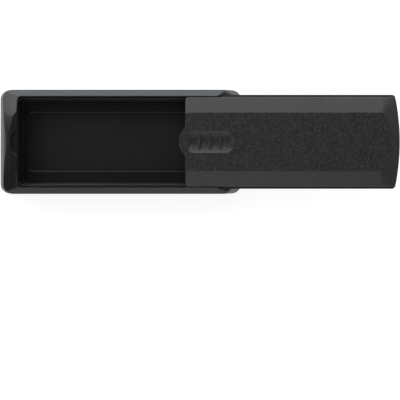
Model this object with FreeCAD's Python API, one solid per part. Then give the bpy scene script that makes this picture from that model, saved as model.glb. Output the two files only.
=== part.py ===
# Magnetic key holder box: a moulded tray with a sliding cover and a magnetic back.
#
# Frame: millimetres. The origin is the centre of the flat back, where the box clings to
# steel. +X is the way the cover slides open, +Y is across the box and +Z points out of
# the cover. Every x value of the cover is given for the closed box and then moved by
# the travel, because the solids are written with the cover fully open.

import FreeCAD, Part
import math
import os

from FreeCAD import Vector

# ---------------------------------------------------------------- driving sizes (mm)
BASE_LENGTH = 137.0           # back of the tray, along X
BASE_WIDTH = 58.8             # back of the tray, along Y
HEIGHT = 30.0                 # back to plateau
BASE_CORNER_R = 5.4           # plan radius of the four corners
BASE_EDGE_R = 0.8             # rounding where the walls meet the back
END_LEAN = 13.8               # degrees that the end faces lean in
SIDE_LEAN = 2.2               # degrees that the long faces lean in
END_ROLL_R = 4.5              # the end faces roll over into the roof with this radius
END_ROLL_Z = 26.15            # height where that rounding starts
RIM_EDGE_R = 0.8              # rounding between the rim band and the long faces
LOW_END_EDGE_R = 2.4          # rounding round the top of the low right end

PLATEAU_WIDTH = 31.6
PLATEAU_LEFT_SETBACK = 10.8   # left end of the back to the tip of the plateau's arc
PLATEAU_RIGHT_SETBACK = 11.0  # the same at the right end
PLATEAU_LEFT_R = 44.0
PLATEAU_RIGHT_R = 27.0
PLATEAU_LEFT_CORNER_R = 4.0
PLATEAU_RIGHT_CORNER_R = 1.6
ROOF_LEAN = 23.75             # degrees that the chamfers fall away from the plateau
RIM_LEAN = 39.35              # degrees that the outer rim band falls

WALL = 1.8                    # outer skin of the tray
INNER_WALL = 1.6              # wall of the key space
DECK_WALL = 1.9               # left deck of the tray, measured upright
COVER_WALL = 1.9              # roof of the cover, measured upright
COVER_SIDE_WALL = 2.0

DECK_LENGTH = 14.2            # left end of the back to the edge of the left deck
RIM_WIDTH = 4.7               # long edge of the back to the edge of the lip
MOUTH_CORNER_R = 2.0
LIP_TIP = 1.6                 # thickness of the lip at its edge
GROOVE_HEIGHT = 1.4
GROOVE_DEPTH = 1.25           # how far the groove reaches under the lip
LEDGE_WIDTH = 2.5             # ledge under the cover's flange, groove wall to key space
LIP_END_SETBACK = 16.0        # right end of the back to where the lips round down
LIP_END_R = 7.5

FLOOR_TOP = 9.6
FLOOR_WALL = 2.0
RIGHT_END_LENGTH = 9.6        # right end of the back to the key space
KEY_SPACE_CORNER_R = 2.2
OVERCUT = 1.0                 # how far cutting blocks run past the face that they cut

SLIDE_TRAVEL = 91.0
SLIDE_GAP = 0.2               # above and below the cover's flange
SEAM_GAP = 0.3                # beside the cover, at its end and round its tongue
FLANGE_WIDTH = 1.25
COVER_RIGHT_SETBACK = 6.0     # right end of the back to the tip of the cover's arc
COVER_RIGHT_R = 160.0
COVER_LEFT_CORNER_R = 1.7
COVER_RIGHT_CORNER_R = 2.0
COVER_EDGE_R = 0.5            # rounding round the top of the cover's sides
TONGUE_CHORD = 15.3
TONGUE_REACH = 3.4
TONGUE_SHELF_WALL = 1.8

SCOOP_SETBACK = 0.75          # left edge of the cover to the scoop
SCOOP_LENGTH = 25.3
SCOOP_WIDTH = 12.0
SCOOP_DEPTH = 1.6
SCOOP_CORNER_R = 4.5
SCOOP_END_RUN = 1.8           # slope length of the scoop's two ends
SCOOP_BACKING = 1.2           # extra roof under the scoop
SCOOP_BACKING_MARGIN = 1.5
GRIP_RIB_COUNT = 3
GRIP_RIB_PITCH = 5.7
GRIP_RIB_LENGTH = 7.6
GRIP_RIB_WIDTH = 1.1
GRIP_RIB_CORNER_R = 0.3
GRIP_RIB_BELOW = 0.25         # rib tops below the plateau

STOP_LUG_LENGTH = 1.6
STOP_LUG_WIDTH = 4.4
STOP_LUG_CATCH = 1.0          # overlap of the lug with the right end wall

CARD_THICKNESS = 0.5
CARD_WIDTH = 31.0
CARD_END_MARGIN = 4.0         # each end of the card to the end of the key space
CARD_CORNER_R = 2.0
CARD_RECESS = 1.1             # depth of the recess in the floor that the card lies in
CARD_GAP = 0.8                # card to the sides of its recess

BACK_PLATE = 1.5
BACK_PLATE_GAP = 0.25
MAGNET_END_GAP = 3.7          # left end of the bay to the left magnet's pocket
MAGNET_LENGTH = 38.0
MAGNET_WIDTH = 17.0
MAGNET_TOP_GAP = 0.3          # magnet to the underside of the floor
POLE_PLATE = 1.5
POLE_TONGUE_LENGTH = 32.0     # part of the pole plate that stands in its window
WINDOW_GAP = 0.2
POCKET_RIB = 1.4
POCKET_GAP = 0.2

BOSS_Y = 19.0
BOSS_R = 2.6
BOSS_HEIGHT = 11.0
BOSS_LEFT_INSET = 3.3         # left boss axis to the left edge of the key space
BOSS_RIGHT_INSET = 3.3        # right boss axis to the right edge of the key space
SCREW_R = 1.1
SCREW_HEAD_R = 2.1
SCREW_HEAD_HEIGHT = 1.1
SCREW_LENGTH = 8.0
SCREW_TIP = 1.2               # length of the cone at the screw's tip
SCREW_TIP_R = 0.2
SCREW_HOLE_GAP = 0.2
PILOT_GAP = 0.03
RECESS_LENGTH = 2.4
RECESS_WIDTH = 0.5
RECESS_DEPTH = 0.6

# ---------------------------------------------------------------- worked-out places
HALF_LENGTH = BASE_LENGTH / 2
HALF_WIDTH = BASE_WIDTH / 2
END_RUN = math.tan(math.radians(END_LEAN))
SIDE_RUN = math.tan(math.radians(SIDE_LEAN))
ROOF_SLOPE = math.tan(math.radians(ROOF_LEAN))
RIM_SLOPE = math.tan(math.radians(RIM_LEAN))
FAR = 2 * BASE_LENGTH         # longer than anything here, for cutting blocks

PLATEAU_HALF = PLATEAU_WIDTH / 2
PLATEAU_LEFT_X = PLATEAU_LEFT_SETBACK - HALF_LENGTH
PLATEAU_RIGHT_X = HALF_LENGTH - PLATEAU_RIGHT_SETBACK
MOUTH_LEFT_X = DECK_LENGTH - HALF_LENGTH
MOUTH_HALF_WIDTH = HALF_WIDTH - RIM_WIDTH
LIP_END_X = HALF_LENGTH - LIP_END_SETBACK
KEY_SPACE_RIGHT_X = HALF_LENGTH - RIGHT_END_LENGTH
LIP_TOP = HEIGHT - ROOF_SLOPE * (MOUTH_HALF_WIDTH - PLATEAU_HALF)
RIM_FOOT = (LIP_TOP - RIM_SLOPE * RIM_WIDTH) / (1 - RIM_SLOPE * SIDE_RUN)
GROOVE_TOP = LIP_TOP - LIP_TIP
LEDGE_TOP = GROOVE_TOP - GROOVE_HEIGHT
GROOVE_HALF = MOUTH_HALF_WIDTH + GROOVE_DEPTH
KEY_SPACE_HALF = GROOVE_HALF - LEDGE_WIDTH
CORE_TOP = LEDGE_TOP - INNER_WALL

COVER_LEFT_X = MOUTH_LEFT_X + SEAM_GAP
COVER_RIGHT_X = HALF_LENGTH - COVER_RIGHT_SETBACK
COVER_HALF = MOUTH_HALF_WIDTH - SEAM_GAP
COVER_BOTTOM = LEDGE_TOP + SLIDE_GAP
FLANGE_TOP = GROOVE_TOP - SLIDE_GAP
COVER_INSIDE_TOP = HEIGHT - COVER_WALL
TONGUE_R = ((TONGUE_CHORD / 2) ** 2 + TONGUE_REACH ** 2) / (2 * TONGUE_REACH)
TONGUE_CENTRE_X = COVER_LEFT_X - TONGUE_REACH + TONGUE_R
SCOOP_X = COVER_LEFT_X + SCOOP_SETBACK + SCOOP_LENGTH / 2

FLOOR_UNDER = FLOOR_TOP - FLOOR_WALL
CARD_BED = FLOOR_TOP - CARD_RECESS
MAGNET_TOP = FLOOR_UNDER - MAGNET_TOP_GAP
POCKET_LEFT_X = MOUTH_LEFT_X + MAGNET_END_GAP + POCKET_RIB
MAGNET_X = -(POCKET_LEFT_X + POCKET_GAP + MAGNET_LENGTH / 2)
BOSS_XS = (MOUTH_LEFT_X - BOSS_LEFT_INSET, KEY_SPACE_RIGHT_X + BOSS_RIGHT_INSET)


# ---------------------------------------------------------------- helpers
def block(x0, x1, y0, y1, z0, z1):
    return Part.makeBox(x1 - x0, y1 - y0, z1 - z0, Vector(x0, y0, z0))


def round_upright_edges(solid, radius, keep=lambda x, y: True):
    """Fillet the edges that run from bottom to top at places that keep() accepts."""
    box = solid.BoundBox
    chosen = []
    for edge in solid.Edges:
        tall = edge.BoundBox.ZLength > 0.9 * box.ZLength
        middle = edge.BoundBox.Center
        if tall and keep(middle.x, middle.y):
            chosen.append(edge)
    return solid.makeFillet(radius, chosen)


def rounded_block(x0, x1, y0, y1, z0, z1, radius):
    return round_upright_edges(block(x0, x1, y0, y1, z0, z1), radius)


def profile_along_x(points, x0, x1):
    """Solid with the (y, z) outline given, from x0 to x1."""
    corners = [Vector(x0, y, z) for y, z in points]
    wire = Part.makePolygon(corners + [corners[0]])
    return Part.Face(wire).extrude(Vector(x1 - x0, 0, 0))


def profile_along_y(points, y0, y1):
    """Solid with the (x, z) outline given, from y0 to y1."""
    corners = [Vector(x, y0, z) for x, z in points]
    wire = Part.makePolygon(corners + [corners[0]])
    return Part.Face(wire).extrude(Vector(0, y1 - y0, 0))


def both_sides(solid):
    """The solid and its mirror image across the XZ plane."""
    return [solid, solid.mirror(Vector(0, 0, 0), Vector(0, 1, 0))]


def write(name, shape):
    shape.exportStep(os.path.join("parts", name + ".step"))


# ---------------------------------------------------------------- outer form
def leaning_block(inset, top):
    """Box of the tray's walls, moved in by inset, with leaning faces, from z=0 to top."""
    half_x = HALF_LENGTH - inset
    half_y = HALF_WIDTH - inset
    lean_x = top * END_RUN
    lean_y = top * SIDE_RUN
    along = [(-half_x, 0), (half_x, 0), (half_x - lean_x, top), (lean_x - half_x, top)]
    across = [(-half_y, 0), (half_y, 0), (half_y - lean_y, top), (lean_y - half_y, top)]
    walls = profile_along_y(along, -FAR, FAR).common(profile_along_x(across, -FAR, FAR))
    return round_upright_edges(walls, BASE_CORNER_R - inset / 2)


def plateau_end(tip_x, arc_r, corner_r, side, grow):
    """Centre data of one plateau end: its corner arc and end arc, grown by grow."""
    arc_x = tip_x - side * arc_r
    reach = arc_r - corner_r
    corner_y = PLATEAU_HALF - corner_r
    corner_x = arc_x + side * math.sqrt(reach ** 2 - corner_y ** 2)
    turn = math.atan2(corner_y, abs(corner_x - arc_x))
    middle_turn = (turn + math.pi / 2) / 2
    big = arc_r + grow
    small = corner_r + grow
    tip = Vector(arc_x + side * big, 0, 0)
    join = Vector(arc_x + side * big * math.cos(turn), big * math.sin(turn), 0)
    bend = Vector(corner_x + side * small * math.cos(middle_turn),
                  corner_y + small * math.sin(middle_turn), 0)
    straight = Vector(corner_x, PLATEAU_HALF + grow, 0)
    return tip, join, bend, straight


def plateau_wire(grow, z):
    """Outline of the plateau, grown outwards by grow, at height z."""
    left = plateau_end(PLATEAU_LEFT_X, PLATEAU_LEFT_R, PLATEAU_LEFT_CORNER_R, -1, grow)
    right = plateau_end(PLATEAU_RIGHT_X, PLATEAU_RIGHT_R, PLATEAU_RIGHT_CORNER_R, 1, grow)

    def place(point, flip):
        return Vector(point.x, flip * point.y, z)

    edges = [Part.LineSegment(place(left[3], 1), place(right[3], 1)).toShape()]
    edges.append(Part.Arc(place(right[3], 1), place(right[2], 1), place(right[1], 1)).toShape())
    edges.append(Part.Arc(place(right[1], 1), place(right[0], 1), place(right[1], -1)).toShape())
    edges.append(Part.Arc(place(right[1], -1), place(right[2], -1), place(right[3], -1)).toShape())
    edges.append(Part.LineSegment(place(right[3], -1), place(left[3], -1)).toShape())
    edges.append(Part.Arc(place(left[3], -1), place(left[2], -1), place(left[1], -1)).toShape())
    edges.append(Part.Arc(place(left[1], -1), place(left[0], -1), place(left[1], 1)).toShape())
    edges.append(Part.Arc(place(left[1], 1), place(left[2], 1), place(left[3], 1)).toShape())
    return Part.Wire(edges)


def roof_block(drop):
    """Everything under the plateau and its even slopes, lowered by drop."""
    reach = HALF_LENGTH - PLATEAU_HALF / 2
    top = HEIGHT - drop
    low = top - ROOF_SLOPE * reach
    outer = plateau_wire(reach, low)
    slopes = Part.makeLoft([plateau_wire(0, top), outer], True, True)
    under = Part.Face(outer).extrude(Vector(0, 0, -low - OVERCUT))
    return slopes.fuse(under).removeSplitter()


def end_roll(inset):
    """Block along Y whose two ends lean in and then roll over towards the roof."""
    lean = math.radians(END_LEAN)
    start_x = HALF_LENGTH - inset - END_ROLL_Z * END_RUN
    centre_x = start_x - END_ROLL_R * math.cos(lean)
    centre_z = END_ROLL_Z - END_ROLL_R * math.sin(lean)
    middle = (lean + math.pi / 2) / 2

    def place(side, x, z):
        return Vector(side * x, -FAR, z)

    def arc(side):
        first = place(side, start_x, END_ROLL_Z)
        half_way = place(side, centre_x + END_ROLL_R * math.cos(middle),
                         centre_z + END_ROLL_R * math.sin(middle))
        last = place(side, centre_x, centre_z + END_ROLL_R)
        return first, half_way, last

    left = arc(-1)
    right = arc(1)
    foot_x = HALF_LENGTH - inset
    feet = [place(-1, foot_x, 0), place(1, foot_x, 0)]
    edges = [Part.LineSegment(feet[0], feet[1]).toShape()]
    edges.append(Part.LineSegment(feet[1], right[0]).toShape())
    edges.append(Part.Arc(*right).toShape())
    edges.append(Part.LineSegment(right[2], left[2]).toShape())
    edges.append(Part.Arc(*reversed(left)).toShape())
    edges.append(Part.LineSegment(left[0], feet[0]).toShape())
    return Part.Face(Part.Wire(edges)).extrude(Vector(0, 2 * FAR, 0))


def closed_form(inset, drop):
    """Outer form of the closed box, or the form inside it by inset and drop."""
    form = leaning_block(inset, HEIGHT + OVERCUT).common(roof_block(drop))
    form = form.common(end_roll(inset))
    rim_z = LIP_TOP - drop
    low_z = rim_z - RIM_SLOPE * (HALF_WIDTH - MOUTH_HALF_WIDTH)
    band = [(MOUTH_HALF_WIDTH, rim_z), (HALF_WIDTH, low_z), (HALF_WIDTH, -OVERCUT),
            (-HALF_WIDTH, -OVERCUT), (-HALF_WIDTH, low_z), (-MOUTH_HALF_WIDTH, rim_z),
            (-MOUTH_HALF_WIDTH, HEIGHT + OVERCUT), (MOUTH_HALF_WIDTH, HEIGHT + OVERCUT)]
    return form.common(profile_along_x(band, -FAR, FAR))


def outer_form():
    """Closed form with its long rim edges and its back edge rounded."""
    form = closed_form(0, 0)
    rims = []
    for edge in form.Edges:
        box = edge.BoundBox
        if box.XLength > HALF_LENGTH and abs(box.Center.z - RIM_FOOT) < RIM_EDGE_R / 2:
            rims.append(edge)
    form = form.makeFillet(RIM_EDGE_R, rims)
    back = [edge for edge in form.Edges if edge.BoundBox.ZMax < BASE_EDGE_R / 2]
    return form.makeFillet(BASE_EDGE_R, back)


def tongue_disc(grow, z0, z1):
    """Upright disc of the cover's tongue, grown by grow."""
    return Part.makeCylinder(TONGUE_R + grow, z1 - z0, Vector(TONGUE_CENTRE_X, 0, z0))


# ---------------------------------------------------------------- tray
def card_block(grow, top):
    """Rounded plan of the floor card, grown by grow, from the bed of its recess to top."""
    return rounded_block(MOUTH_LEFT_X + CARD_END_MARGIN - grow,
                         KEY_SPACE_RIGHT_X - CARD_END_MARGIN + grow,
                         -CARD_WIDTH / 2 - grow, CARD_WIDTH / 2 + grow,
                         CARD_BED, top, CARD_CORNER_R + grow)


def low_end_space():
    """Space over the low right end, outside the rolled lips and the end's rounded edges."""
    low = LEDGE_TOP - LOW_END_EDGE_R
    space = block(LIP_END_X, FAR, -FAR, FAR, low, HEIGHT + OVERCUT)
    roll = Part.makeCylinder(LIP_END_R, 2 * FAR, Vector(LIP_END_X, -FAR, LIP_TOP - LIP_END_R),
                             Vector(0, 1, 0))
    walls = leaning_block(0, LEDGE_TOP)
    top_edges = [edge for edge in walls.Edges if edge.BoundBox.ZMin > low]
    return space.cut([roll, walls.makeFillet(LOW_END_EDGE_R, top_edges)])


def tray_mouth():
    """Space taken out of the tray's top for the cover: mouth, groove and tongue notch."""
    mouth = rounded_block(MOUTH_LEFT_X, FAR, -MOUTH_HALF_WIDTH, MOUTH_HALF_WIDTH,
                          GROOVE_TOP, HEIGHT + OVERCUT, MOUTH_CORNER_R)
    groove = rounded_block(MOUTH_LEFT_X, FAR, -GROOVE_HALF, GROOVE_HALF,
                           LEDGE_TOP, GROOVE_TOP, MOUTH_CORNER_R)
    shelf_z = COVER_INSIDE_TOP - SEAM_GAP
    notch = tongue_disc(SEAM_GAP, shelf_z, HEIGHT + OVERCUT)
    return [mouth, groove, notch]


def tray_hollows():
    """Key space above the floor, magnet bay below it and the cored space round both."""
    key_space = rounded_block(MOUTH_LEFT_X, KEY_SPACE_RIGHT_X, -KEY_SPACE_HALF,
                              KEY_SPACE_HALF, FLOOR_TOP, HEIGHT + OVERCUT, KEY_SPACE_CORNER_R)
    bay = rounded_block(MOUTH_LEFT_X, KEY_SPACE_RIGHT_X, -KEY_SPACE_HALF, KEY_SPACE_HALF,
                        -OVERCUT, FLOOR_UNDER, KEY_SPACE_CORNER_R)
    inside = closed_form(WALL, DECK_WALL)
    low_part = block(-FAR, FAR, -FAR, FAR, -OVERCUT, CORE_TOP)
    under_deck = block(-FAR, MOUTH_LEFT_X - INNER_WALL, -FAR, FAR, -OVERCUT, HEIGHT)
    tub = rounded_block(MOUTH_LEFT_X - INNER_WALL, KEY_SPACE_RIGHT_X + INNER_WALL,
                        -KEY_SPACE_HALF - INNER_WALL, KEY_SPACE_HALF + INNER_WALL,
                        -OVERCUT, HEIGHT + OVERCUT, KEY_SPACE_CORNER_R + INNER_WALL)
    cored = inside.common(low_part.fuse(under_deck)).cut(tub)
    return key_space, bay, cored


def magnet_pockets():
    """Upright ribs under the floor that frame each magnet with its pole plates."""
    half_x = MAGNET_LENGTH / 2 + POCKET_GAP
    half_y = MAGNET_WIDTH / 2 + POLE_PLATE + POCKET_GAP
    frames = []
    for side in (-1, 1):
        x = side * MAGNET_X
        outer = block(x - half_x - POCKET_RIB, x + half_x + POCKET_RIB,
                      -half_y - POCKET_RIB, half_y + POCKET_RIB,
                      BACK_PLATE, (FLOOR_UNDER + CARD_BED) / 2)
        inner = block(x - half_x, x + half_x, -half_y, half_y, 0, FLOOR_UNDER)
        frames.append(outer.cut(inner))
    return frames


def tray_body():
    key_space, bay, cored = tray_hollows()
    tray = outer_form().cut(low_end_space()).cut(tray_mouth())
    bosses = []
    pilots = []
    for x in BOSS_XS:
        for y in (-BOSS_Y, BOSS_Y):
            bosses.append(Part.makeCylinder(BOSS_R, BOSS_HEIGHT, Vector(x, y, BACK_PLATE)))
            pilots.append(Part.makeCylinder(SCREW_R + PILOT_GAP, SCREW_LENGTH,
                                            Vector(x, y, BACK_PLATE)))
    shelf_z = COVER_INSIDE_TOP - SEAM_GAP
    shelf = tongue_disc(SEAM_GAP + INNER_WALL, shelf_z - TONGUE_SHELF_WALL, shelf_z)
    shelf = shelf.common(block(-FAR, MOUTH_LEFT_X, -FAR, FAR, 0, HEIGHT))
    plate_seat = leaning_block(WALL, BACK_PLATE)
    tray = tray.cut([key_space, bay, cored, plate_seat])
    tray = tray.cut(card_block(CARD_GAP, FLOOR_TOP + OVERCUT))
    tray = tray.fuse(bosses + magnet_pockets() + [shelf])
    return tray.cut(pilots).removeSplitter()


# ---------------------------------------------------------------- cover
def cover_plan(half_width, inset, z0, z1):
    """Upright block of the cover's plan: straight left edge and curved right end."""
    arc_x = COVER_RIGHT_X - COVER_RIGHT_R
    body = block(COVER_LEFT_X, FAR, -half_width, half_width, z0, z1)
    disc = Part.makeCylinder(COVER_RIGHT_R - inset, z1 - z0, Vector(arc_x, 0, z0))
    plan = body.common(disc)
    plan = round_upright_edges(plan, COVER_LEFT_CORNER_R, lambda x, y: x < 0)
    return round_upright_edges(plan, COVER_RIGHT_CORNER_R, lambda x, y: x > 0)


def scoop():
    """Thumb scoop: a round trough along X inside a rounded outline with sloped ends."""
    half_y = SCOOP_WIDTH / 2
    trough_r = (half_y ** 2 + SCOOP_DEPTH ** 2) / (2 * SCOOP_DEPTH)
    trough = Part.makeCylinder(trough_r, SCOOP_LENGTH,
                               Vector(SCOOP_X - SCOOP_LENGTH / 2, 0,
                                      HEIGHT - SCOOP_DEPTH + trough_r), Vector(1, 0, 0))
    half_x = SCOOP_LENGTH / 2
    run = SCOOP_END_RUN
    ends = [(SCOOP_X - half_x, HEIGHT), (SCOOP_X + half_x, HEIGHT),
            (SCOOP_X + half_x - run, HEIGHT - SCOOP_DEPTH),
            (SCOOP_X - half_x + run, HEIGHT - SCOOP_DEPTH)]
    outline = rounded_block(SCOOP_X - half_x, SCOOP_X + half_x, -half_y, half_y,
                            HEIGHT - SCOOP_DEPTH, HEIGHT, SCOOP_CORNER_R)
    return trough.common(outline).common(profile_along_y(ends, -half_y, half_y))


def grip_ribs():
    """Ribs across the scoop, level on top, to fuse back into it."""
    half_y = GRIP_RIB_LENGTH / 2
    ribs = []
    for number in range(GRIP_RIB_COUNT):
        x = SCOOP_X + (number - (GRIP_RIB_COUNT - 1) / 2) * GRIP_RIB_PITCH
        ribs.append(rounded_block(x - GRIP_RIB_WIDTH / 2, x + GRIP_RIB_WIDTH / 2,
                                  -half_y, half_y, HEIGHT - SCOOP_DEPTH - SCOOP_BACKING / 2,
                                  HEIGHT - GRIP_RIB_BELOW, GRIP_RIB_CORNER_R))
    return ribs


def stop_lugs():
    """Lugs under the cover that meet the right end wall when the cover is fully open.

    They stay inside the key space, clear of its rounded corners.
    """
    right = KEY_SPACE_RIGHT_X - SLIDE_TRAVEL - SEAM_GAP
    outer_y = KEY_SPACE_HALF - KEY_SPACE_CORNER_R - SEAM_GAP
    lug = block(right - STOP_LUG_LENGTH, right, outer_y - STOP_LUG_WIDTH, outer_y,
                LEDGE_TOP - STOP_LUG_CATCH, HEIGHT)
    return both_sides(lug)


def cap_edges(cap):
    """Edges where the cover's long sides and right end meet its roof."""
    chosen = []
    for edge in cap.Edges:
        box = edge.BoundBox
        level = COVER_BOTTOM + COVER_EDGE_R < box.ZMin and box.ZMax < HEIGHT - COVER_EDGE_R
        at_side = abs(box.Center.y) > COVER_HALF - COVER_EDGE_R
        at_end = box.XMin > COVER_RIGHT_X - COVER_RIGHT_CORNER_R * 2
        if level and (at_side or at_end):
            chosen.append(edge)
    return chosen


def sliding_cover():
    roof = roof_block(0)
    cap = cover_plan(COVER_HALF, 0, COVER_BOTTOM, HEIGHT + OVERCUT).common(roof)
    cap = cap.makeFillet(COVER_EDGE_R, cap_edges(cap))
    flange = cover_plan(COVER_HALF + FLANGE_WIDTH, 0, COVER_BOTTOM, FLANGE_TOP)
    above_shelf = tongue_disc(0, COVER_INSIDE_TOP, HEIGHT + OVERCUT)
    tongue = above_shelf.common(roof).common(block(-FAR, SCOOP_X, -FAR, FAR, 0, HEIGHT + OVERCUT))
    under = roof_block(COVER_WALL)
    inside_half = COVER_HALF - COVER_SIDE_WALL
    hollow = block(-FAR, FAR, -inside_half, inside_half, 0, HEIGHT)
    hollow = hollow.common(Part.makeCylinder(COVER_RIGHT_R - COVER_SIDE_WALL, HEIGHT,
                                             Vector(COVER_RIGHT_X - COVER_RIGHT_R, 0, 0)))
    hollow = hollow.common(under)
    lugs = [lug.common(roof) for lug in stop_lugs()]
    half_x = SCOOP_LENGTH / 2 + SCOOP_BACKING_MARGIN
    half_y = SCOOP_WIDTH / 2 + SCOOP_BACKING_MARGIN
    backing = block(max(SCOOP_X - half_x, COVER_LEFT_X), SCOOP_X + half_x, -half_y, half_y,
                    COVER_INSIDE_TOP - SCOOP_BACKING, COVER_INSIDE_TOP)
    cover = cap.fuse(flange).cut(hollow)
    cover = cover.fuse([tongue, backing] + lugs)
    cover = cover.cut(scoop()).fuse(grip_ribs()).removeSplitter()
    return cover.translated(Vector(SLIDE_TRAVEL, 0, 0))


# ---------------------------------------------------------------- card, magnets, back
def floor_card():
    return card_block(0, CARD_BED + CARD_THICKNESS)


def magnet(side):
    x = side * MAGNET_X
    return block(x - MAGNET_LENGTH / 2, x + MAGNET_LENGTH / 2,
                 -MAGNET_WIDTH / 2, MAGNET_WIDTH / 2, BACK_PLATE, MAGNET_TOP)


def pole_plate(side, face):
    """Steel plate beside a magnet, with a tongue down to the back of the box."""
    x = side * MAGNET_X
    near = face * MAGNET_WIDTH / 2
    far = near + face * POLE_PLATE
    y0, y1 = sorted((near, far))
    plate = block(x - MAGNET_LENGTH / 2, x + MAGNET_LENGTH / 2, y0, y1, BACK_PLATE, MAGNET_TOP)
    tongue = block(x - POLE_TONGUE_LENGTH / 2, x + POLE_TONGUE_LENGTH / 2, y0, y1, 0, BACK_PLATE)
    return plate.fuse(tongue).removeSplitter()


def window(side, face):
    """Opening in the back plate round a pole plate's tongue."""
    x = side * MAGNET_X
    half_x = POLE_TONGUE_LENGTH / 2 + WINDOW_GAP
    y0, y1 = sorted((face * (MAGNET_WIDTH / 2 - WINDOW_GAP),
                     face * (MAGNET_WIDTH / 2 + POLE_PLATE + WINDOW_GAP)))
    return block(x - half_x, x + half_x, y0, y1, -OVERCUT, BACK_PLATE + OVERCUT)


def countersink(x, y, gap):
    """Cone of a screw head, flush with the back, widened by gap."""
    return Part.makeCone(SCREW_HEAD_R + gap, SCREW_R + gap, SCREW_HEAD_HEIGHT, Vector(x, y, 0))


def back_plate():
    plate = leaning_block(WALL + BACK_PLATE_GAP, BACK_PLATE)
    cuts = [window(side, face) for side in (-1, 1) for face in (-1, 1)]
    for x in BOSS_XS:
        for y in (-BOSS_Y, BOSS_Y):
            cuts.append(countersink(x, y, 0))
            cuts.append(Part.makeCylinder(SCREW_R + SCREW_HOLE_GAP, BACK_PLATE + OVERCUT,
                                          Vector(x, y, 0)))
    return plate.cut(cuts)


def screw(x, y):
    head = countersink(x, y, 0)
    shank = Part.makeCylinder(SCREW_R, SCREW_LENGTH - SCREW_TIP, Vector(x, y, 0))
    tip = Part.makeCone(SCREW_R, SCREW_TIP_R, SCREW_TIP,
                        Vector(x, y, SCREW_LENGTH - SCREW_TIP))
    long_half = RECESS_LENGTH / 2
    thin_half = RECESS_WIDTH / 2
    low = -OVERCUT
    slot_a = block(x - long_half, x + long_half, y - thin_half, y + thin_half, low, RECESS_DEPTH)
    slot_b = block(x - thin_half, x + thin_half, y - long_half, y + long_half, low, RECESS_DEPTH)
    return head.fuse([shank, tip]).removeSplitter().cut([slot_a, slot_b])


def main():
    os.makedirs("parts", exist_ok=True)
    write("tray_body", tray_body())
    write("sliding_cover", sliding_cover())
    write("floor_card", floor_card())
    for side, side_name in ((-1, "left"), (1, "right")):
        write("magnet_" + side_name, magnet(side))
        for face, face_name in ((-1, "front"), (1, "rear")):
            write("pole_plate_" + side_name + "_" + face_name, pole_plate(side, face))
    write("back_plate", back_plate())
    screws = [screw(x, y) for x in BOSS_XS for y in (-BOSS_Y, BOSS_Y)]
    write("back_plate_screws", Part.makeCompound(screws))


main()
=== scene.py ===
import math

import bpy
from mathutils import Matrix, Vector


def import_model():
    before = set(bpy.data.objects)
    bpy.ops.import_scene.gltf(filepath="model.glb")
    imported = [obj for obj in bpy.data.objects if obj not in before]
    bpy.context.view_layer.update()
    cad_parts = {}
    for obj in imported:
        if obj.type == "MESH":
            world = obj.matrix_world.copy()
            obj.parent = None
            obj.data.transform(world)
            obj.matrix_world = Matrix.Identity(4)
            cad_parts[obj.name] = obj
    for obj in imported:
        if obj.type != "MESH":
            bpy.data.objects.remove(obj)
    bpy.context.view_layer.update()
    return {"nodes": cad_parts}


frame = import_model()
scene = bpy.context.scene
scene.view_settings.view_transform = "Standard"

MM = 0.001


# ------------------------------------------------------------------ node helpers
FULL = (0.0, 1.0)
NOISE_MIDDLE = (0.3, 0.7)     # where most of a noise's values lie
EDGE_RANGE = (0.995, 0.88)    # cosine between the face and the rounded edge, flat to sharp


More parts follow.
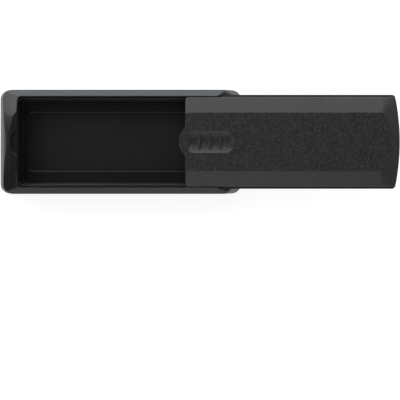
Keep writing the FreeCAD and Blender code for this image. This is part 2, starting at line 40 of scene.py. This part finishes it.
class Graph:
    """Short names for the shader nodes of one material or of the world. Sizes, radii and
    distances are in millimetres."""

    def __init__(self, owner):
        owner.use_nodes = True
        self.tree = owner.node_tree
        self.tree.nodes.clear()

    def node(self, kind, **settings):
        made = self.tree.nodes.new("ShaderNode" + kind)
        for name, value in settings.items():
            setattr(made, name, value)
        return made

    def feed(self, socket, value):
        """Link value to the socket if it comes from a node, and otherwise write it there."""
        if isinstance(value, bpy.types.NodeSocket):
            self.tree.links.new(value, socket)
        else:
            socket.default_value = value

    def calc(self, operation, *values):
        made = self.node("Math", operation=operation)
        for socket, value in zip(made.inputs, values):
            self.feed(socket, value)
        return made.outputs[0]

    def times(self, value, factor):
        return self.calc("MULTIPLY", value, factor)

    def total(self, first, *others):
        for other in others:
            first = self.calc("ADD", first, other)
        return first

    def upward(self, vector):
        """The Z part of a vector."""
        parts = self.node("SeparateXYZ")
        self.feed(parts.inputs[0], vector)
        return parts.outputs["Z"]

    def place(self):
        """Object coordinates in millimetres."""
        scaled = self.node("VectorMath", operation="SCALE")
        self.feed(scaled.inputs[0], self.node("TexCoord").outputs["Object"])
        scaled.inputs["Scale"].default_value = 1 / MM
        return scaled.outputs[0]

    def noise(self, place, size, detail=2.0, roughness=0.5, stretch=(1, 1, 1)):
        """Noise whose features are about size across, and stretch times that along an axis."""
        mapping = self.node("Mapping")
        self.feed(mapping.inputs["Vector"], place)
        mapping.inputs["Scale"].default_value = [1 / (size * s) for s in stretch]
        made = self.node("TexNoise")
        self.feed(made.inputs["Vector"], mapping.outputs[0])
        made.inputs["Scale"].default_value = 1
        made.inputs["Detail"].default_value = detail
        made.inputs["Roughness"].default_value = roughness
        return made.outputs["Fac"]

    def cells(self, place, size):
        """Distance to the nearest of scattered points about size apart."""
        made = self.node("TexVoronoi")
        self.feed(made.inputs["Vector"], place)
        made.inputs["Scale"].default_value = 1 / size
        return made.outputs["Distance"]

    def remap(self, value, given, wanted):
        """Smooth step from the given pair of values to the wanted pair."""
        made = self.node("MapRange", interpolation_type="SMOOTHSTEP")
        for socket, number in zip(made.inputs, (value, *given, *wanted)):
            self.feed(socket, number)
        return made.outputs[0]

    def blend(self, factor, first, second):
        """Colour between first and second."""
        made = self.node("Mix", data_type="RGBA")
        self.feed(made.inputs["Factor"], factor)
        self.feed(made.inputs["A"], first)
        self.feed(made.inputs["B"], second)
        return made.outputs["Result"]

    def shades(self, factor, pair, tint=(1.0, 1.0, 1.0)):
        """Grey between the two of a pair, tinted."""
        return self.blend(factor, grey(pair[0], tint), grey(pair[1], tint))

    def bump(self, height, depth, strength=1.0, normal=None):
        """Normal of a relief whose height goes from 0 to 1 and is depth deep."""
        made = self.node("Bump")
        self.feed(made.inputs["Strength"], strength)
        made.inputs["Distance"].default_value = depth * MM
        self.feed(made.inputs["Height"], height)
        if normal is not None:
            self.feed(made.inputs["Normal"], normal)
        return made.outputs["Normal"]

    def edges(self, radius):
        """The normal with edges rounded by radius, and how near an edge is: 0 on flat ground,
        towards 1 at a sharp edge."""
        bevel = self.node("Bevel", samples=6)
        bevel.inputs["Radius"].default_value = radius * MM
        dot = self.node("VectorMath", operation="DOT_PRODUCT")
        self.feed(dot.inputs[0], bevel.outputs[0])
        self.feed(dot.inputs[1], self.node("NewGeometry").outputs["Normal"])
        return bevel.outputs[0], self.remap(dot.outputs["Value"], EDGE_RANGE, FULL)


def shaded(name):
    """New material with a Principled shader: its graph and the shader."""
    material = bpy.data.materials.new(name)
    graph = Graph(material)
    shader = graph.node("BsdfPrincipled")
    output = graph.node("OutputMaterial")
    graph.tree.links.new(shader.outputs[0], output.inputs[0])
    return material, graph, shader


def grey(value, tint=(1.0, 1.0, 1.0)):
    return (value * tint[0], value * tint[1], value * tint[2], 1.0)


# ------------------------------------------------------------------ materials
# A pair of shades is the darker and the lighter grey of a surface, and a pair of
# roughnesses belongs to the low and the high values of the noise that drives it.
PLASTIC_IOR = 1.5
EDGE_WEAR_AND_HIGHLIGHT_SHADE = 0.05           # lighter plastic along edges: rubbed wear and painted edge highlight

TRAY_TINT = (0.92, 1.0, 1.08)
TRAY_SHADES = (0.0035, 0.006)
TRAY_ROUGHNESS = 0.24
TRAY_EDGE = 0.9               # also softens the crease between deck and rim
CLOUD_ROUGHNESS = 0.06        # what the clouds, streaks and steep faces add to the roughness
STREAK_ROUGHNESS = 0.08
STEEP_ROUGHNESS = 0.24
STEEP_FACES = (0.7, 0.4)      # Z of the normal where a face begins to count as steep, and does
SCUFF_RANGE = (0.5, 0.72)
SCUFF_WEAR = 0.45             # how far a scuffed edge goes towards the lighter edge shade
EDGE_HIGHLIGHT_AND_WEAR = 0.08              # how far every edge goes towards it: painted edge highlight and wear

COVER_SHADES = (0.005, 0.031)
COVER_ROUGHNESS = (0.36, 0.5)
COVER_EDGE = 0.45
# how far the cover's edges go towards the lighter edge shade: wear and painted edge highlight
COVER_EDGE_HIGHLIGHT_AND_WEAR = 0.35
SLOPES = (0.92, 0.98)         # Z of the normal on the chamfers and steeper, and on the top
SLOPE_GRAIN = 0.4             # how strong the cover's grain is on its slopes
MIDDLE_GRAIN = 0.5
CELL_SHARE = 0.7              # cells and fine noise in the height of the cover's grain
FINE_SHARE = 0.3

CARD_SHADES = (0.005, 0.009)
CARD_ROUGHNESS = (0.42, 0.56)
CARD_SPECULAR = 0.3
FIBRE_SHADE = 0.018
FIBRE_SHARE = 0.3

FERRITE_SHADES = (0.035, 0.06)
FERRITE_ROUGHNESS = (0.8, 0.6)
# darker grey in the pits: painted shade
PAINTED_PIT_SHADE = 0.015

STEEL_TINT = (0.97, 0.99, 1.03)
STEEL_ROUGHNESS = (0.24, 0.42)
POLE_SHADES = (0.42, 0.6)
SCREW_SHADES = (0.45, 0.62)


def tray_plastic():
    """Smooth black moulding with a slight satin, faint flow lines, and edges lightened by rubbed
    scuffs and a painted edge highlight.
    """
    material, g, shader = shaded("TrayPlastic")
    place = g.place()
    rounded, edge = g.edges(TRAY_EDGE)
    clouds = g.noise(place, size=9.0, detail=3.0)
    scuffs = g.remap(g.noise(place, size=1.1, detail=6.0, roughness=0.7), SCUFF_RANGE, FULL)
    # Edges are lightened: the scuffs are rubbed wear, and the part along every edge is a painted
    # highlight.
    highlit_and_worn = g.calc("MULTIPLY", edge, g.total(g.times(scuffs, SCUFF_WEAR), EDGE_HIGHLIGHT_AND_WEAR))
    clean = g.shades(clouds, TRAY_SHADES, TRAY_TINT)
    g.feed(shader.inputs["Base Color"], g.blend(highlit_and_worn, clean, grey(EDGE_WEAR_AND_HIGHLIGHT_SHADE, TRAY_TINT)))
    streaks = g.noise(place, size=0.9, detail=4.0, stretch=(9, 1, 1))
    normal_z = g.upward(g.node("NewGeometry").outputs["Normal"])
    steep = g.remap(normal_z, STEEP_FACES, (0.0, STEEP_ROUGHNESS))
    uneven = g.total(g.times(streaks, STREAK_ROUGHNESS), g.times(clouds, CLOUD_ROUGHNESS), steep)
    g.feed(shader.inputs["Roughness"], g.total(uneven, TRAY_ROUGHNESS))
    shader.inputs["IOR"].default_value = PLASTIC_IOR
    skin = g.noise(place, size=0.35)
    g.feed(shader.inputs["Normal"], g.bump(skin, depth=0.004, normal=rounded))
    return material


def cover_plastic():
    """Black moulding with a fine spark-eroded grain, fainter on the slopes; its edges are
    lightened by wear and a painted edge highlight.
    """
    material, g, shader = shaded("CoverPlastic")
    place = g.place()
    rounded, edge = g.edges(COVER_EDGE)
    cells = g.cells(place, size=0.62)
    fine = g.noise(place, size=0.3)
    grain = g.remap(g.noise(place, size=0.9, detail=3.0, roughness=0.6), NOISE_MIDDLE, FULL)
    normal_z = g.upward(g.node("NewGeometry").outputs["Normal"])
    strength = g.remap(normal_z, SLOPES, (SLOPE_GRAIN, 1.0))
    uneven = g.times(g.total(grain, -MIDDLE_GRAIN), strength)
    clean = g.shades(g.total(uneven, MIDDLE_GRAIN), COVER_SHADES)
    # Every edge is lightened the same: wear and a painted edge highlight.
    highlit_and_worn = g.times(edge, COVER_EDGE_HIGHLIGHT_AND_WEAR)
    g.feed(shader.inputs["Base Color"], g.blend(highlit_and_worn, clean, grey(EDGE_WEAR_AND_HIGHLIGHT_SHADE)))
    g.feed(shader.inputs["Roughness"], g.remap(fine, NOISE_MIDDLE, COVER_ROUGHNESS))
    shader.inputs["IOR"].default_value = PLASTIC_IOR
    height = g.total(g.times(cells, CELL_SHARE), g.times(fine, FINE_SHARE))
    relief = g.bump(height, depth=0.03, strength=strength, normal=rounded)
    g.feed(shader.inputs["Normal"], relief)
    return material


def card():
    """Black card with a faint coating, a mottle and paper fibres."""
    material, g, shader = shaded("Card")
    place = g.place()
    fibres = g.noise(place, size=0.5, detail=5.0, roughness=0.65)
    coated = g.shades(g.noise(place, size=7.0), CARD_SHADES)
    colour = g.blend(g.times(fibres, FIBRE_SHARE), coated, grey(FIBRE_SHADE))
    g.feed(shader.inputs["Base Color"], colour)
    g.feed(shader.inputs["Roughness"], g.remap(fibres, NOISE_MIDDLE, CARD_ROUGHNESS))
    shader.inputs["Specular IOR Level"].default_value = CARD_SPECULAR
    g.feed(shader.inputs["Normal"], g.bump(fibres, depth=0.01))
    return material


def ferrite():
    """Sintered ceramic magnet: charcoal with fine pits, darkened with painted shade."""
    material, g, shader = shaded("Ferrite")
    place = g.place()
    pits = g.cells(place, size=0.5)
    ground = g.shades(g.noise(place, size=1.5, detail=4.0), FERRITE_SHADES)
    # The pits are darkened in the colour: painted shade in the recesses.
    painted_pit_shade_mask = g.remap(pits, (0.0, 0.15), (0.6, 0.0))
    g.feed(shader.inputs["Base Color"], g.blend(painted_pit_shade_mask, ground, grey(PAINTED_PIT_SHADE)))
    g.feed(shader.inputs["Roughness"], g.remap(pits, (0.0, 0.4), FERRITE_ROUGHNESS))
    g.feed(shader.inputs["Normal"], g.bump(pits, depth=0.02))
    return material


def steel(name, shades, run):
    """Bright zinc-plated steel with fine lines, drawn out along the axes as run says."""
    material, g, shader = shaded(name)
    place = g.place()
    lines = g.noise(place, size=0.12, detail=3.0, stretch=run)
    bloom = g.noise(place, size=2.5, detail=3.0)
    g.feed(shader.inputs["Base Color"], g.shades(lines, shades, STEEL_TINT))
    shader.inputs["Metallic"].default_value = 1.0
    g.feed(shader.inputs["Roughness"], g.remap(bloom, NOISE_MIDDLE, STEEL_ROUGHNESS))
    g.feed(shader.inputs["Normal"], g.bump(lines, depth=0.004))
    return material


def dress(material, *nodes):
    for node in nodes:
        slots = frame["nodes"][node].data.materials
        for index in range(len(slots)):
            slots[index] = material


MAGNETS = ["magnet_" + side for side in ("left", "right")]
POLE_PLATES = ["pole_plate_" + side + "_" + face
               for side in ("left", "right") for face in ("front", "rear")]

dress(tray_plastic(), "tray_body", "back_plate")
dress(cover_plastic(), "sliding_cover")
dress(card(), "floor_card")
dress(ferrite(), *MAGNETS)
dress(steel("PoleSteel", POLE_SHADES, run=(30, 1, 1)), *POLE_PLATES)
dress(steel("ScrewSteel", SCREW_SHADES, run=(1, 1, 6)), "back_plate_screws")


# ------------------------------------------------------------------ floor and world
FLOOR_HALF = 4.0              # metres from the middle to each side
FLOOR_TOP = -0.0003           # just under the flat back, which it would else cut through
FLOOR_GLOW = 0.79             # what camera and mirror rays get on top of the lit floor
FLOOR_COLOUR = 0.40
HORIZON = 1.0                 # the white sweep round the object, as camera and mirror rays see it
UPPER_ROOM = 0.032            # the unlit upper walls
OVERHEAD = 0.104              # the ceiling straight above
ROOM = 0.44                   # what the room gives to matt surfaces from all sides
SWEEP_FADE = (0.2, 0.54)      # sine of the elevation where the white sweep fades out
CEILING_FADE = (0.8, 0.96)    # and where the ceiling fades in


def seen(graph):
    """1 for camera, glossy and transmission rays."""
    path = graph.node("LightPath")
    first = graph.calc("MAXIMUM", path.outputs["Is Camera Ray"], path.outputs["Is Glossy Ray"])
    return graph.calc("MAXIMUM", first, path.outputs["Is Transmission Ray"])


def floor():
    corners = [(x * FLOOR_HALF, y * FLOOR_HALF, FLOOR_TOP)
               for x, y in ((-1, -1), (1, -1), (1, 1), (-1, 1))]
    mesh = bpy.data.meshes.new("Floor")
    mesh.from_pydata(corners, [], [range(len(corners))])
    plane = bpy.data.objects.new("Floor", mesh)
    scene.collection.objects.link(plane)
    material, g, shader = shaded("FloorPaper")
    shader.inputs["Base Color"].default_value = grey(FLOOR_COLOUR)
    shader.inputs["Roughness"].default_value = 1.0
    shader.inputs["Specular IOR Level"].default_value = 0.0
    shader.inputs["Emission Color"].default_value = grey(1.0)
    g.feed(shader.inputs["Emission Strength"], g.times(seen(g), FLOOR_GLOW))
    mesh.materials.append(material)


def world():
    """A white sweep low down and a dark ceiling, as seen; an even room for matt surfaces."""
    made = bpy.data.worlds.new("Studio")
    scene.world = made
    g = Graph(made)
    height = g.upward(g.node("TexCoord").outputs["Generated"])
    sweep = g.remap(height, SWEEP_FADE, (HORIZON, UPPER_ROOM))
    ceiling = g.remap(height, CEILING_FADE, (0.0, OVERHEAD - UPPER_ROOM))
    strength = g.node("Mix", data_type="FLOAT")
    g.feed(strength.inputs["Factor"], seen(g))
    strength.inputs["A"].default_value = ROOM
    g.feed(strength.inputs["B"], g.total(sweep, ceiling))
    light = g.node("Background")
    light.inputs["Color"].default_value = grey(1.0)
    g.feed(light.inputs["Strength"], strength.outputs["Result"])
    g.tree.links.new(light.outputs[0], g.node("OutputWorld").inputs[0])


floor()
world()


# ------------------------------------------------------------------ lamps
VIEW_X = 0.0450               # where the camera stands along the object, and the lamps aim
LAMP_AIM = Vector((VIEW_X, 0.0, 0.02))
LAMP_DISTANCE = 1.4


def softbox(name, turn, elevation, width, height, radiance, colour=(1.0, 1.0, 1.0)):
    """Area lamp aimed at the object. turn is from +Y towards -X and elevation from the
    floor, in degrees, width and height are in metres, and the lamp's power is what gives
    its face the wanted radiance."""
    lamp = bpy.data.lights.new(name, "AREA")
    lamp.color = colour
    lamp.shape = "RECTANGLE"
    lamp.size = width
    lamp.size_y = height
    lamp.energy = radiance * math.pi * width * height
    t = math.radians(turn)
    e = math.radians(elevation)
    away = Vector((-math.sin(t) * math.cos(e), math.cos(t) * math.cos(e), math.sin(e)))
    lamp_object = bpy.data.objects.new(name, lamp)
    lamp_object.location = LAMP_AIM + away * LAMP_DISTANCE
    lamp_object.rotation_euler = (-away).to_track_quat("-Z", "Y").to_euler()
    lamp_object.visible_camera = False
    scene.collection.objects.link(lamp_object)


softbox("StripBox", turn=0, elevation=14, width=2.3, height=0.52, radiance=3.2,
        colour=(0.91, 1.0, 1.1))
softbox("HighBox", turn=-4, elevation=45, width=1.5, height=0.9, radiance=1.3)
softbox("CornerBox", turn=51, elevation=40, width=1.02, height=0.9, radiance=2.5)
softbox("FillBox", turn=180, elevation=42, width=0.72, height=0.8, radiance=1.45)


# ------------------------------------------------------------------ camera
CAMERA_HEIGHT = 0.600         # straight above, looking down
LENS = 94.9
SENSOR_WIDTH = 36.0
SHIFT_Y = -0.1455             # keeps the object in the upper half of the frame


def camera():
    made = bpy.data.cameras.new("Camera")
    made.lens = LENS
    made.sensor_width = SENSOR_WIDTH
    made.shift_y = SHIFT_Y
    made.clip_start = 0.01
    made.clip_end = 10.0
    camera_object = bpy.data.objects.new("Camera", made)
    camera_object.location = (VIEW_X, 0.0, CAMERA_HEIGHT)
    scene.collection.objects.link(camera_object)
    scene.camera = camera_object


camera()
